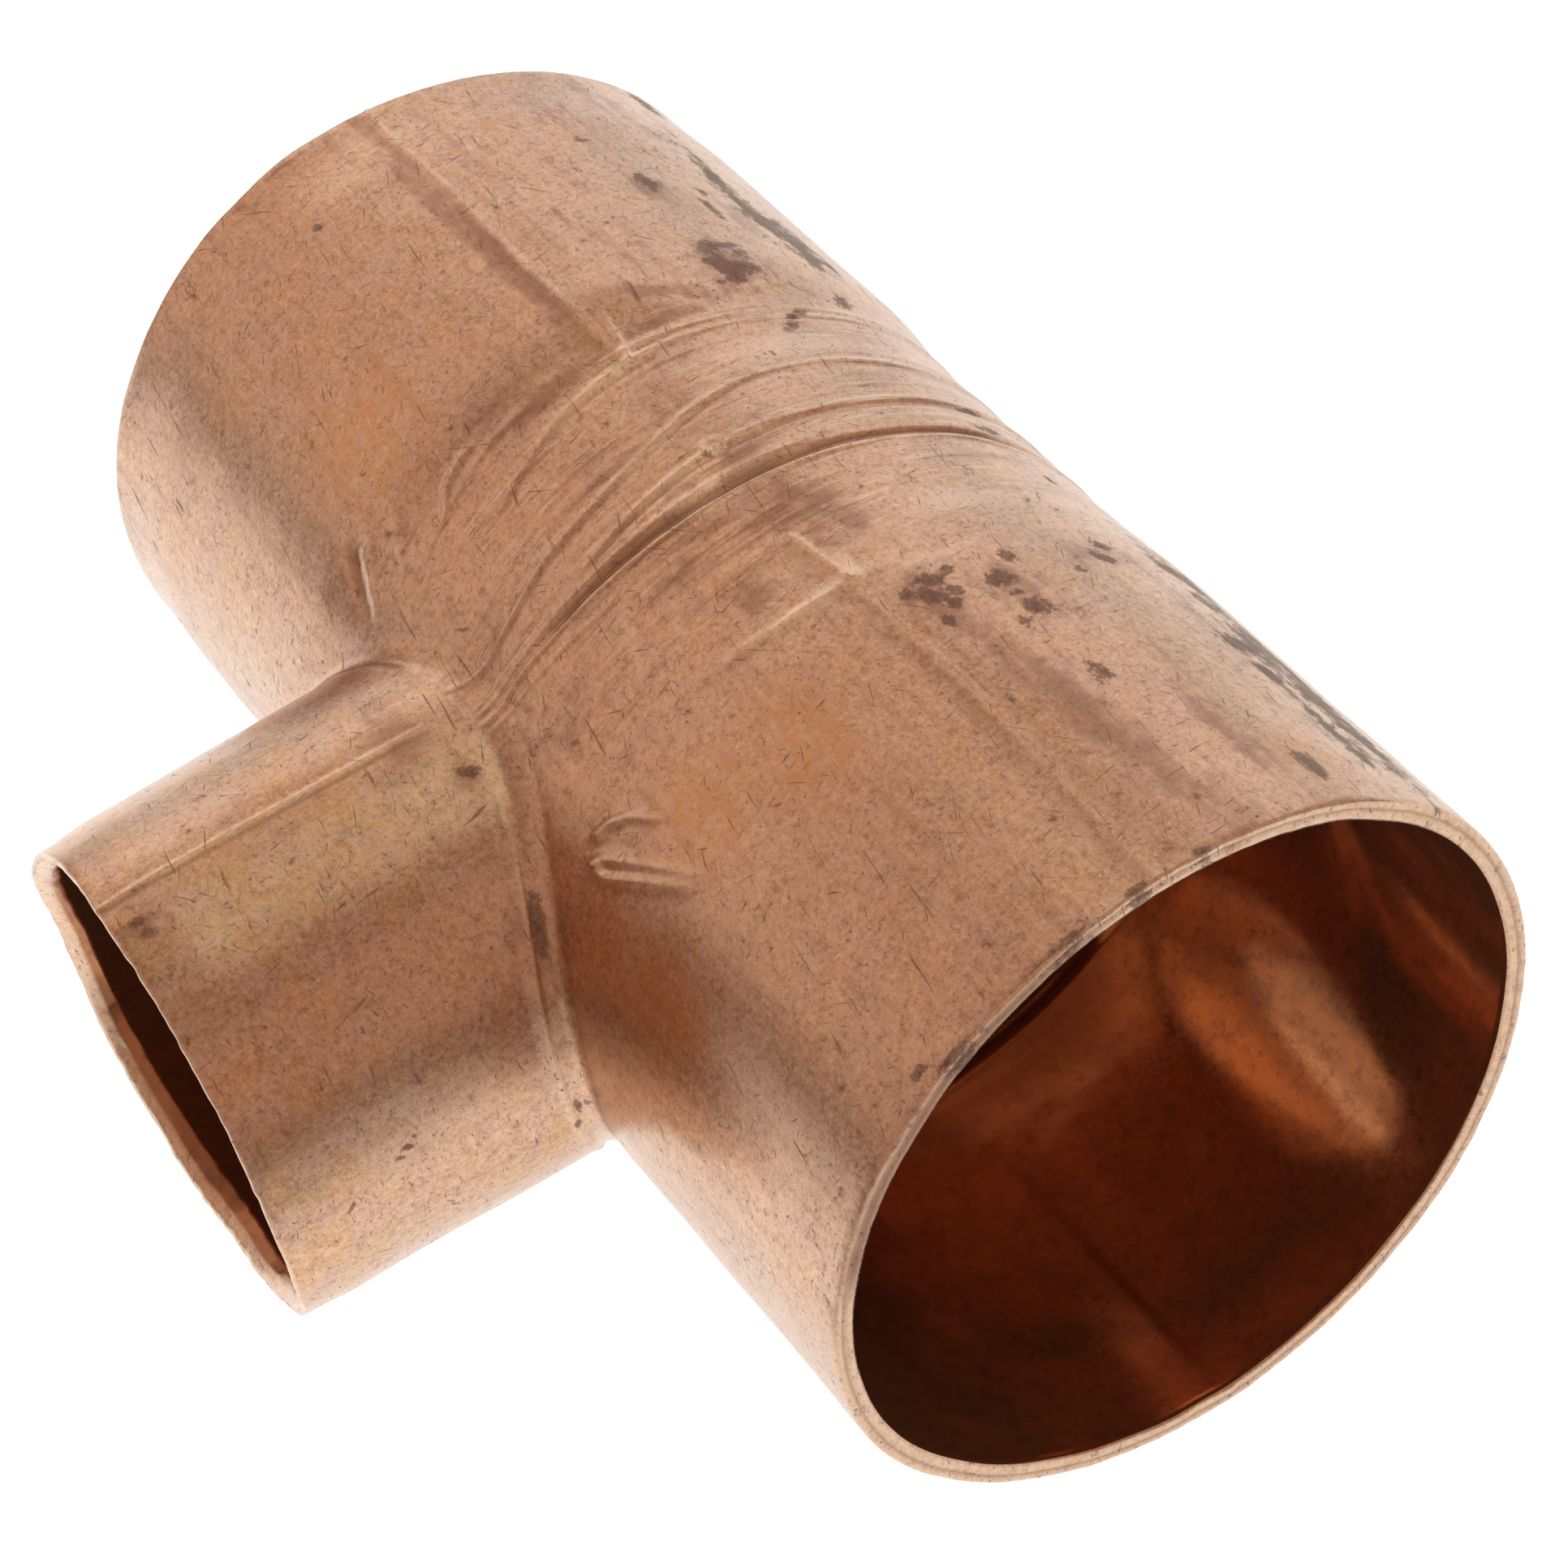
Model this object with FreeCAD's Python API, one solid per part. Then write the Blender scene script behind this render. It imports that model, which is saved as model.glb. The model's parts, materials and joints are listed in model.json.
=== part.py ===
"""Reducing tee of wrot copper for soldered tube: one formed shell with three sockets.

Millimetres. X runs along the run, the branch points to -Y, and +Z is up. The tee stands on
the plane z = 0, and the origin is under the middle of its box.
"""

import FreeCAD, Part
import math
import os

# Tubes that go into the sockets
RUN_TUBE_OD = 53.98  # 2 inch nominal copper water tube
BRANCH_TUBE_OD = 34.93  # 1-1/4 inch nominal
RUN_SOLDER_GAP = 0.06  # radial
BRANCH_SOLDER_GAP = 0.035

# Lengths, measured from the point where the axes of the run and the branch cross
FRONT_CENTRE_TO_END = 52.4  # +X
REAR_CENTRE_TO_END = 51.2  # -X
BRANCH_CENTRE_TO_END = 52.0  # -Y
FRONT_SOCKET_DEPTH = 33.6
REAR_SOCKET_DEPTH = 38.4  # the rear end is sized further in
BRANCH_SOCKET_DEPTH = 24.6

# Walls and steps, all radial
RUN_SOCKET_WALL = 1.5
BRANCH_SOCKET_WALL = 1.35
WAIST_STEP = 0.7  # from a run socket down to the body between the sockets
RUN_STOP_STEP = 1.0  # the ledge that stops a run tube
BRANCH_STOP_STEP = 1.0  # the ledge that stops the branch tube

# Blends
SHOULDER_LENGTH = 10.0  # outside, from socket to waist
FRONT_SHOULDER = 16.5  # middle of each shoulder, from the crossing
REAR_SHOULDER = 16.0
STOP_CONE_LENGTH = 0.8  # inside, from socket bore to body bore
ROOT_FILLET = 2.5  # outside, where the branch leaves the run
INNER_FILLET = 2.0
RIM_ROUND = 0.45
MOUTH_CHAMFER = 0.3
WAIST_TO_FILLET = 1.0  # land left between the waist and the root fillet

# Worked out from them
RUN_BORE_R = RUN_TUBE_OD / 2 + RUN_SOLDER_GAP
RUN_OUTER_R = RUN_BORE_R + RUN_SOCKET_WALL
BRANCH_BORE_R = BRANCH_TUBE_OD / 2 + BRANCH_SOLDER_GAP
BRANCH_OUTER_R = BRANCH_BORE_R + BRANCH_SOCKET_WALL
WAIST_R = RUN_OUTER_R - WAIST_STEP
BODY_BORE_R = RUN_BORE_R - RUN_STOP_STEP
BRANCH_NECK_R = BRANCH_BORE_R - BRANCH_STOP_STEP
FRONT_STOP = FRONT_CENTRE_TO_END - FRONT_SOCKET_DEPTH
REAR_STOP = REAR_CENTRE_TO_END - REAR_SOCKET_DEPTH
BRANCH_STOP = BRANCH_CENTRE_TO_END - BRANCH_SOCKET_DEPTH

# Where the axes cross, measured from the middle of the box's base
CROSSING = FreeCAD.Vector(
    (REAR_CENTRE_TO_END - FRONT_CENTRE_TO_END) / 2,
    (BRANCH_CENTRE_TO_END - RUN_OUTER_R) / 2,
    RUN_OUTER_R,
)

ORIGIN = FreeCAD.Vector(0, 0, 0)
ALONG_RUN = FreeCAD.Vector(1, 0, 0)
ALONG_BRANCH = FreeCAD.Vector(0, -1, 0)
UP = FreeCAD.Vector(0, 0, 1)
PAST_END = 1.0  # a cutting solid runs this far past the face that it opens
ON_SURFACE = 0.05  # an edge this close to a radius lies on it


def turned(profile, direction):
    """Solid of revolution about the axis through the origin along direction.

    profile lists (distance along the axis, radius) from one end to the other.
    """
    points = [direction * along + UP * radius for along, radius in profile]
    feet = [direction * profile[-1][0], direction * profile[0][0]]
    outline = Part.makePolygon(points + feet + [points[0]])
    return Part.Face(outline).revolve(ORIGIN, direction, 360)


def edge_spots(edge):
    """Three points spread along an edge."""
    span = edge.LastParameter - edge.FirstParameter
    return [edge.valueAt(edge.FirstParameter + span * part) for part in (0.1, 0.5, 0.9)]


def is_root_edge(edge, run_r, branch_r):
    """True on the curve where a branch cylinder meets a run cylinder."""
    return all(
        abs(math.hypot(spot.x, spot.z) - branch_r) < ON_SURFACE
        and abs(math.hypot(spot.y, spot.z) - run_r) < ON_SURFACE
        for spot in edge_spots(edge)
    )


def is_rim_edge(edge):
    """True on the outer circle of any of the three mouths."""
    spots = edge_spots(edge)
    ends = [
        [spot.x - FRONT_CENTRE_TO_END for spot in spots],
        [spot.x + REAR_CENTRE_TO_END for spot in spots],
        [spot.y + BRANCH_CENTRE_TO_END for spot in spots],
    ]
    return any(all(abs(gap) < ON_SURFACE for gap in end) for end in ends)


def plain_tee(run_r, branch_r, fillet, past_end):
    """Two crossing cylinders as one solid, with a fillet where the branch leaves the run."""
    rear, front = -REAR_CENTRE_TO_END - past_end, FRONT_CENTRE_TO_END + past_end
    run = turned([(rear, run_r), (front, run_r)], ALONG_RUN)
    branch = turned([(0, branch_r), (BRANCH_CENTRE_TO_END + past_end, branch_r)], ALONG_BRANCH)
    tee = run.fuse(branch).removeSplitter()
    root = [edge for edge in tee.Edges if is_root_edge(edge, run_r, branch_r)]
    return tee.makeFillet(fillet, root)


def waist_groove():
    """Ring to cut away between the run sockets, kept clear of the branch's root fillet."""
    half = SHOULDER_LENGTH / 2
    rise = SHOULDER_LENGTH * PAST_END / WAIST_STEP  # carries each shoulder's slope past the skin
    outer_r = RUN_OUTER_R + PAST_END
    rear, front = -REAR_SHOULDER - half - rise, FRONT_SHOULDER + half + rise
    whole = turned([(rear, outer_r), (front, outer_r)], ALONG_RUN)
    kept = turned(
        [
            (rear, outer_r),
            (half - REAR_SHOULDER, WAIST_R),
            (FRONT_SHOULDER - half, WAIST_R),
            (front, outer_r),
        ],
        ALONG_RUN,
    )
    clear_r = BRANCH_OUTER_R + ROOT_FILLET + WAIST_TO_FILLET
    root = turned([(0, clear_r), (BRANCH_CENTRE_TO_END, clear_r)], ALONG_BRANCH)
    return whole.cut(kept).cut(root)


def outside():
    """Everything inside the outer skin, with rounded rims."""
    tee = plain_tee(RUN_OUTER_R, BRANCH_OUTER_R, ROOT_FILLET, 0)
    tee = tee.makeFillet(RIM_ROUND, [edge for edge in tee.Edges if is_rim_edge(edge)])
    return tee.cut(waist_groove())


def socket_bore(bore_r, stop_r, stop, end, direction):
    """Socket's hollow: a cone at the stop, the bore, and a chamfer at the mouth."""
    return turned(
        [
            (stop - STOP_CONE_LENGTH, stop_r),
            (stop, bore_r),
            (end - MOUTH_CHAMFER, bore_r),
            (end, bore_r + MOUTH_CHAMFER),
            (end + PAST_END, bore_r + MOUTH_CHAMFER),
        ],
        direction,
    )


def waterway():
    """The hollow that is cut from the tee: body, neck and three sockets."""
    hollow = plain_tee(BODY_BORE_R, BRANCH_NECK_R, INNER_FILLET, PAST_END)
    front = socket_bore(RUN_BORE_R, BODY_BORE_R, FRONT_STOP, FRONT_CENTRE_TO_END, ALONG_RUN)
    rear = socket_bore(RUN_BORE_R, BODY_BORE_R, REAR_STOP, REAR_CENTRE_TO_END, -ALONG_RUN)
    branch = socket_bore(
        BRANCH_BORE_R, BRANCH_NECK_R, BRANCH_STOP, BRANCH_CENTRE_TO_END, ALONG_BRANCH
    )
    return hollow.fuse([front, rear, branch])


def tee_body():
    """The fitting: one copper shell, moved so that it stands on z = 0."""
    body = outside().cut(waterway())
    body.translate(CROSSING)
    return body.Solids[0]


PIECES = {"tee_body": tee_body}

os.makedirs("parts", exist_ok=True)
for node, make in PIECES.items():
    make().exportStep(f"parts/{node}.step")
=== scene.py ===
"""Looks of the copper reducing tee: one formed shell with its seams, folds, stains and worn rims.

Lengths are in millimetres from the point where the two axes cross, until to_frame() turns
them into the CAD frame's metres. phi is the angle round the run, in degrees from the top
towards the branch, and theta is the angle round the branch, from the top towards +X. h is the
distance out along the branch, and rho the distance from its axis.
"""

import json
import math
from types import SimpleNamespace

import bmesh
import bpy
import numpy as np
from mathutils import Matrix, Vector


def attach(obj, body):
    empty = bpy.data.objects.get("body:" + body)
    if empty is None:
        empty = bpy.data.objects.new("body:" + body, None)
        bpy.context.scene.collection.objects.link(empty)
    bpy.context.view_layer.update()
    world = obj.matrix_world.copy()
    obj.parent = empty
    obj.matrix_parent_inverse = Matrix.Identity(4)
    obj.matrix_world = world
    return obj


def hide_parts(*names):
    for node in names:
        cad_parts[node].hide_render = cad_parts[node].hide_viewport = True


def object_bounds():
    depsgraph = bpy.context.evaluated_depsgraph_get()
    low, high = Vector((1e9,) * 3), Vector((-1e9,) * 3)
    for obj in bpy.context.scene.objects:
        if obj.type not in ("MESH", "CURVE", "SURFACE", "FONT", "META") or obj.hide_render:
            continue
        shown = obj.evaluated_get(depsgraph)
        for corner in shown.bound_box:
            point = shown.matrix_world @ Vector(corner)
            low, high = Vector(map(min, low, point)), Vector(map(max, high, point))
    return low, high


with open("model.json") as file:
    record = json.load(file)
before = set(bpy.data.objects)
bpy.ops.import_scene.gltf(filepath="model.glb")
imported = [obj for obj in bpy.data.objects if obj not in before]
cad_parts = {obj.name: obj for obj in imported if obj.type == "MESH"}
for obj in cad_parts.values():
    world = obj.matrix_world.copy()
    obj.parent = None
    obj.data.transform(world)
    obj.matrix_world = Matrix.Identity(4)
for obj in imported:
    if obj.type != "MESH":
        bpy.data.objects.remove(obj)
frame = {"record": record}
CAD_LOW, CAD_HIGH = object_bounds()
MM = 0.001
RNG = np.random.default_rng(7)

# ------------------------ sizes

# Not in the frame
BRANCH_WALL = 1.35
WAIST_STEP = 0.48
STOP_STEP = 1.0
LIP = 0.25  # the rim takes up the last of each socket
OUTER_FILLET = 2.3  # at the sides of the branch's root
INNER_FILLET = 2.0
FILLET_EASING = 0.9  # share by which the root's fillet is larger on top and below

# From the frame
mounts = {mount["name"]: mount for mount in frame["record"]["mounts"]}
front_mount, rear_mount = mounts["run_socket_front"], mounts["run_socket_rear"]
branch_mount = mounts["branch_socket"]
CROSSING = Vector((branch_mount["pos_m"][0], front_mount["pos_m"][1], front_mount["pos_m"][2]))

RUN_R = (CAD_HIGH.z - CAD_LOW.z) / 2 / MM
RUN_BORE_R = front_mount["dims"]["r_mm"]
BRANCH_BORE_R = branch_mount["dims"]["r_mm"]
BRANCH_R = BRANCH_BORE_R + BRANCH_WALL
FRONT_END = (CAD_HIGH.x - CROSSING.x) / MM
REAR_END = (CROSSING.x - CAD_LOW.x) / MM
BRANCH_END = (CROSSING.y - CAD_LOW.y) / MM
FRONT_STOP = FRONT_END - front_mount["dims"]["length_mm"]
REAR_STOP = REAR_END - rear_mount["dims"]["length_mm"]
BRANCH_STOP = BRANCH_END - branch_mount["dims"]["length_mm"]

# ------------------------ helpers

LN_2, FOUR_LN_2 = 0.69, 2.77  # rounded; they set where a hill has fallen to half its height
TINY = 1e-6
WAVE_SPREAD = (0.6, 1.7)  # shortest and longest wave in a relief, as shares of its length
FINE_LINES = 4001  # places at which a spacing is summed up


def smooth(low, high, value):
    """0 at low, 1 at high, with a smooth run between; low may be the larger one."""
    t = np.clip((value - low) / (high - low), 0, 1)
    return t * t * (3 - 2 * t)


def bump(value, centre, width):
    """Rounded hill of height 1 at centre, half as high at width / 2 from it."""
    return np.exp(-FOUR_LN_2 * ((value - centre) / width) ** 2)


def between(value, low, high, soft):
    """1 from low to high, fading to 0 over soft past each."""
    return smooth(low - soft, low, value) * smooth(high + soft, high, value)


def turn_towards(angle, centre):
    """Signed difference of two angles in degrees, from -180 to 180."""
    return (angle - centre + 180) % 360 - 180


class Waves:
    """Smooth random relief: sines in seeded directions, with values near -1 to 1."""

    def __init__(self, length, count=24):
        way = RNG.normal(size=(count, 3))
        way /= np.linalg.norm(way, axis=1)[:, None]
        size = 2 * math.pi / (length * RNG.uniform(*WAVE_SPREAD, count))
        self.way = way * size[:, None]
        self.phase = RNG.uniform(0, 2 * math.pi, count)
        self.gain = math.sqrt(2 / count)

    def __call__(self, points):
        return self.gain * np.sin(points @ self.way.T + self.phase).sum(axis=1)


def spaced(low, high, step_at):
    """Grid lines from low to high, whose spacing follows step_at."""
    fine = np.linspace(low, high, FINE_LINES)
    middles = (fine[1:] + fine[:-1]) / 2
    lines = np.concatenate([[0], np.cumsum(np.diff(fine) / step_at(middles))])
    count = int(round(lines[-1]))
    return np.interp(np.linspace(0, lines[-1], count + 1), lines, fine)


def band(low, high):
    """Quads between two closed loops of points."""
    return np.stack([low, np.roll(low, -1), np.roll(high, -1), high], axis=1)


# ------------------------ the shell's grid

# The run's own grid leaves a window for the branch, this far each side of its axis
WINDOW_X = 30.0
WINDOW_PHI = (28.0, 152.0)
WRINKLED_X = (-16, 7)  # where the grid is finest, and where it is finer than elsewhere
FOLDED_X = (7, 28)
RIM_STRETCH = 2.0  # it is finer near the mouths too
LEAST_STEP = 0.26
SEAM_PHI = (-2, 181)  # about where the witness lines lie, on top and below
FOLDED_PHI = 50
FOOT_TRIES = 161  # places tried for the foot of the root's fillet


def run_step(x):
    """Spacing of the grid's lines along the run: fine at the wrinkles, folds and rims."""
    step = 1.0 - 0.74 * between(x, *WRINKLED_X, 2) - 0.5 * between(x, *FOLDED_X, 3)
    at_rim = (x > FRONT_END - RIM_STRETCH) | (x < RIM_STRETCH - REAR_END)
    return np.maximum(step, LEAST_STEP) - 0.4 * at_rim


def round_step(phi):
    """Spacing in degrees round the run: fine at the witness lines and at the root's folds."""
    top = between(turn_towards(phi, SEAM_PHI[0]), -5, 5, 4)
    bottom = between(turn_towards(phi, SEAM_PHI[1]), -3, 3, 3)
    folds = between(turn_towards(phi, FOLDED_PHI), -22, 22, 5)
    return 1.75 - 1.3 * top - 1.1 * bottom - 0.6 * folds


RUN_X = spaced(LIP - REAR_END, FRONT_END - LIP, run_step)
RUN_PHI = spaced(WINDOW_PHI[0] - 360, WINDOW_PHI[0], round_step)[:-1]
FIRST_X = int(np.searchsorted(RUN_X, -WINDOW_X))
LAST_X = int(np.searchsorted(RUN_X, WINDOW_X))
LAST_PHI = int(np.searchsorted(RUN_PHI, WINDOW_PHI[1] - 360))


def window_loop():
    """Grid indices once round the window, as (line along the run, line round it)."""
    loop = [(i, 0) for i in range(FIRST_X, LAST_X)]
    loop += [(LAST_X, j) for j in range(LAST_PHI)]
    loop += [(i, LAST_PHI) for i in range(LAST_X, FIRST_X, -1)]
    loop += [(FIRST_X, j) for j in range(LAST_PHI, 0, -1)]
    return loop


LOOP = window_loop()
LOOP_X = np.array([RUN_X[i] for i, j in LOOP])
LOOP_PHI = np.array([RUN_PHI[j] for i, j in LOOP]) % 360
MID_X, HALF_X = (LOOP_X.max() + LOOP_X.min()) / 2, (LOOP_X.max() - LOOP_X.min()) / 2
MID_PHI, HALF_PHI = (LOOP_PHI.max() + LOOP_PHI.min()) / 2, (LOOP_PHI.max() - LOOP_PHI.min()) / 2
THETA = np.arctan2((LOOP_X - MID_X) / HALF_X, (MID_PHI - LOOP_PHI) / HALF_PHI)


def run_points(x, phi, radius):
    """Points on a cylinder about the run's axis."""
    turn = np.radians(phi)
    return np.stack([x + 0 * turn, -radius * np.sin(turn), radius * np.cos(turn)], axis=-1)


def root_fillet(theta, radius):
    """Fillet radius where the branch leaves the run: tight at the sides, easier on top."""
    return radius * (1 + FILLET_EASING * np.cos(theta) ** 4)


def ring_points(run_r, branch_r, fillet, counts):
    """Rings from the window, over the run and the root fillet, to the branch's mouth.

    Returns an array of rings and, for each ring, how much it belongs to the branch.
    """
    foot_count, fillet_count, branch_count = counts
    blend_r = root_fillet(THETA, fillet)
    blend = blend_r[:, None]
    rho = branch_r + blend * np.linspace(0, 2, FOOT_TRIES)[None, :]
    lift = np.sqrt(np.maximum(blend**2 - (rho - branch_r - blend) ** 2, 0))
    skin = np.sqrt(np.maximum(run_r**2 - (rho * np.cos(THETA)[:, None]) ** 2, TINY))
    touch = np.argmax(skin + lift, axis=1)
    pick = (np.arange(len(THETA)), touch)
    foot_rho, foot_h = rho[pick], skin[pick]
    centre_rho, centre_h = branch_r + blend_r, (skin + lift)[pick]
    foot_x = foot_rho * np.sin(THETA)
    foot_phi = np.degrees(np.arctan2(foot_h, foot_rho * np.cos(THETA)))

    rings, belongs = [], []
    for s in np.linspace(0, 1, foot_count + 1)[1:]:
        x_s = LOOP_X + (foot_x - LOOP_X) * s
        phi_s = LOOP_PHI + (foot_phi - LOOP_PHI) * s
        rings.append(run_points(x_s, phi_s, run_r))
        belongs.append(0.0)
    start = np.arctan2(foot_h - centre_h, foot_rho - centre_rho)
    start = np.where(start > 0, start - 2 * math.pi, start)
    for s in np.linspace(0, 1, fillet_count + 1)[1:]:
        turn = start + (-math.pi - start) * s
        rho_s = centre_rho + blend_r * np.cos(turn)
        h_s = centre_h + blend_r * np.sin(turn)
        rings.append(np.stack([rho_s * np.sin(THETA), -h_s, rho_s * np.cos(THETA)], axis=-1))
        belongs.append(s)
    top = -rings[-1][:, 1]
    for s in np.linspace(0, 1, branch_count + 1)[1:]:
        h_s = top + (BRANCH_END - LIP - top) * s
        across, up = branch_r * np.sin(THETA), branch_r * np.cos(THETA)
        rings.append(np.stack([across, -h_s, up], axis=-1))
        belongs.append(1.0)
    return np.array(rings), np.array(belongs)


class Skin:
    """One side of the shell as a grid of quads, open at the three mouths."""

    def __init__(self, run_r, branch_r, fillet, counts):
        across, around = len(RUN_X), len(RUN_PHI)
        x, phi = np.meshgrid(RUN_X, RUN_PHI, indexing="ij")
        grid = run_points(x.ravel(), phi.ravel(), run_r)
        rings, belongs = ring_points(run_r, branch_r, fillet, counts)
        number = np.arange(across * around).reshape(across, around)
        loop = np.array([number[i, j] for i, j in LOOP])
        levels = [loop] + [
            len(grid) + k * len(loop) + np.arange(len(loop)) for k in range(len(rings))
        ]
        self.points = np.concatenate([grid, rings.reshape(-1, 3)])
        self.branchness = np.concatenate([np.zeros(len(grid)), np.repeat(belongs, len(loop))])

        i, j = np.meshgrid(np.arange(across - 1), np.arange(around), indexing="ij")
        open_cell = (i >= FIRST_X) & (i < LAST_X) & (j < LAST_PHI)
        i, j = i[~open_cell], j[~open_cell]
        k = (j + 1) % around
        quads = [np.stack([number[i, j], number[i + 1, j], number[i + 1, k], number[i, k]], 1)]
        quads += [band(low, high) for low, high in zip(levels[:-1], levels[1:])]
        self.quads = np.concatenate(quads)[:, ::-1]
        self.mouths = {"rear": number[0], "front": number[-1], "branch": levels[-1]}

    def normals(self):
        """Unit normals from the quads that meet at each point."""
        a, b, c, d = (self.points[self.quads[:, n]] for n in range(4))
        face = np.cross(c - a, d - b)
        total = np.zeros_like(self.points)
        for n in range(4):
            np.add.at(total, self.quads[:, n], face)
        size = np.linalg.norm(total, axis=1)
        return total / np.where(size > 0, size, 1)[:, None]


# ------------------------ relief


def curve_through(knots, at):
    """Smooth curve through a few (position, value) knots, level past the first and last."""
    where, value = np.array(knots, float).T
    slope = np.gradient(value, where)
    at = np.clip(at, where[0], where[-1])
    n = np.clip(np.searchsorted(where, at) - 1, 0, len(where) - 2)
    span = where[n + 1] - where[n]
    t = (at - where[n]) / span
    return (
        value[n] * (1 + 2 * t) * (1 - t) ** 2
        + slope[n] * span * t * (1 - t) ** 2
        + value[n + 1] * t * t * (3 - 2 * t)
        - slope[n + 1] * span * t * t * (1 - t)
    )


# Wrinkles round the back of the body, where the tube was squeezed short as the branch grew.
# Each is (x along the run by phi, height, width, first phi, last phi).
WRINKLES = [
    ([(-44, -12.5), (-25, -12.7), (-5, -12.9)], 0.09, 0.45, -80, -4),
    ([(-44, -11.6), (-25, -11.7), (-3, -11.8), (5, -11.3), (12, -10.7), (22, -9.2), (28, -8.2)],
     0.12, 0.45, -80, 22),
    ([(-47, -4.8), (-25, -5.3), (-12, -5.2), (-3, -4.3), (5, -3.2), (15, -2.3), (28, -1.8),
      (36, -0.9), (43, -0.4), (47, -0.8), (52, -1.8)], 0.13, 0.5, -80, 52),
    ([(-44, 0.5), (-18, 0.15), (-6, 0.0), (6, 0.4), (19, 1.2), (25, 1.7), (38, 1.8), (44, 1.6)],
     0.14, 0.42, -80, 44),
    ([(-46, 2.9), (-20, 2.75), (-5, 2.9)], 0.07, 0.35, -80, -8),
    ([(-46, 6.4), (-40, 5.9), (-30, 5.5), (-15, 5.1), (-3, 4.8), (8, 4.5), (20, 4.0), (30, 3.6),
      (42, 3.1)], 0.16, 0.42, -80, 46),
    ([(-10, 3.2), (6, 2.9), (19, 2.6), (30, 2.5), (45, 2.2)], 0.12, 0.4, -6, 46),
    ([(20, -5.6), (35, -3.7), (48, -2.9)], 0.06, 0.4, 22, 48),
    ([(24, 5.6), (35, 4.8), (48, 3.9)], 0.06, 0.4, 26, 48),
    ([(-46, 11.4), (-5, 11.4), (8, 10.9), (22, 9.9)], 0.03, 0.45, -80, 18),
    ([(-46, 15.4), (-5, 15.2)], 0.03, 0.5, -80, -6),
    ([(-1, 17.6), (12, 17.6), (19, 16.8), (28, 15.7)], 0.16, 0.42, -1, 20),
    ([(-46, 18.9), (-5, 18.4)], 0.04, 0.6, -80, -4),
    ([(20, -13.6), (30, -12.6), (40, -11.4)], 0.06, 0.5, 18, 36),
]
# Grooves between them, in the same form
GROOVES = [
    ([(-46, 5.3), (-40, 5.05), (-25, 4.65), (-12, 4.35), (0, 4.15), (13, 3.75), (27, 3.15)],
     0.3, 0.62, -80, 28),
    ([(-44, 1.3), (-12, 0.95), (6, 1.0), (20, 1.75)], 0.12, 0.42, -80, 24),
    ([(-47, -4.1), (-12, -4.6), (-3, -3.7), (15, -1.75), (36, -0.35), (43, 0.15)],
     0.06, 0.5, -80, 44),
    ([(-10, -12.35), (30, -12.2)], 0.05, 0.35, -30, 8),
    ([(2, -10.7), (12, -10.1), (26, -7.9)], 0.05, 0.4, 2, 24),
]
# Small folds in the root, as the (x, phi) of the points along each, its height and its width
FOLDS = [
    ([(17.0, 49.5), (17.5, 46.5), (19.0, 43.2), (21.6, 40.0)], 0.36, 0.55),
    ([(18.0, 52.4), (18.7, 50.6), (22.5, 46.2), (27.2, 41.2)], 0.34, 0.5),
    ([(18.0, 52.6), (19.4, 53.0), (23.0, 48.6), (27.0, 43.8)], 0.34, 0.5),
    ([(18.8, 51.8), (23.0, 47.2), (26.5, 43.0)], 0.14, 1.5),
    ([(-14.6, 25.0), (-13.8, 30.0), (-12.0, 34.0)], 0.24, 0.45),
    ([(-16.6, 38.0), (-14.0, 42.2), (-12.4, 44.0)], 0.26, 0.45),
    ([(-17.2, 44.5), (-14.8, 48.8), (-13.0, 51.5)], 0.28, 0.5),
    ([(-17.6, 47.6), (-15.4, 51.0), (-13.2, 53.6)], -0.22, 0.7),
    ([(17.4, -1.4), (14.5, -1.0), (11.2, -0.4)], 0.22, 0.34),
    ([(18.4, -2.4), (16.6, -2.9), (14.8, -3.6)], 0.2, 0.4),
    ([(17.5, -1.2), (17.7, 4.0), (17.4, 12.0)], 0.2, 0.36),
    ([(-11.6, -2.4), (-14.5, -3.4), (-18.0, -4.4)], 0.16, 0.36),
    ([(-11.4, 1.5), (-11.9, -1.2), (-13.2, -5.6)], 0.18, 0.4),
]
FOLD_TAPER = 0.75  # share of its height that a fold loses on its way
LINE_FADE = 12  # degrees over which a wrinkle fades past each end

# The witness lines on the run, each as its phi by x, its first and last x, and its strength
RUN_SEAMS = [
    ([(-51, -1.7), (-35, -1.5), (-19, -1.5), (-12, -2.2)], -60, -12.5, 1.0),
    ([(11.5, -0.4), (17.6, -1.3), (30, -2.2), (53, -1.6)], 12, 60, 0.75),
]
BRANCH_SEAM = [(26, 1.5), (51.5, -1.0)]  # theta of the branch's witness line, by distance out
BRANCH_SEAM_START = (25.6, 26.6)
SEAM_HEIGHT, SEAM_WIDTH, SEAM_FADE = 0.08, 0.4, 0.8
RUN_DITCH = (0.03, 0.8, 1.2)  # depth, place and width of the dip beside each witness line
BRANCH_DITCH = (0.05, 0.55, 0.6)

WANDER = 0.35  # how far the wrinkles below, which mirror those on top, stray from them
FULL_GROOVE, FULL_RIDGE = 0.28, 0.2  # depth and height at which a groove's painted shade and a crest's painted highlight are whole
FULL_DITCH, FULL_SEAM = 0.04, 0.08  # the same for the witness lines
LYING = -0.93  # height, as a share of the radius, below which the relief fades off the floor

PIMPLE = (0.1, -1.8)  # x and phi of a small ring on the waist
PIMPLE_HEIGHT, PIMPLE_R, PIMPLE_WIDTH = 0.22, 0.75, 0.35
COLLAR_HEIGHT, COLLAR_PLACE, COLLAR_WIDTH = 0.24, 1.6, 0.5  # round the branch's foot
COLLAR_THETA = (14, 35)  # from where it is missing, on top, to where it is whole

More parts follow.
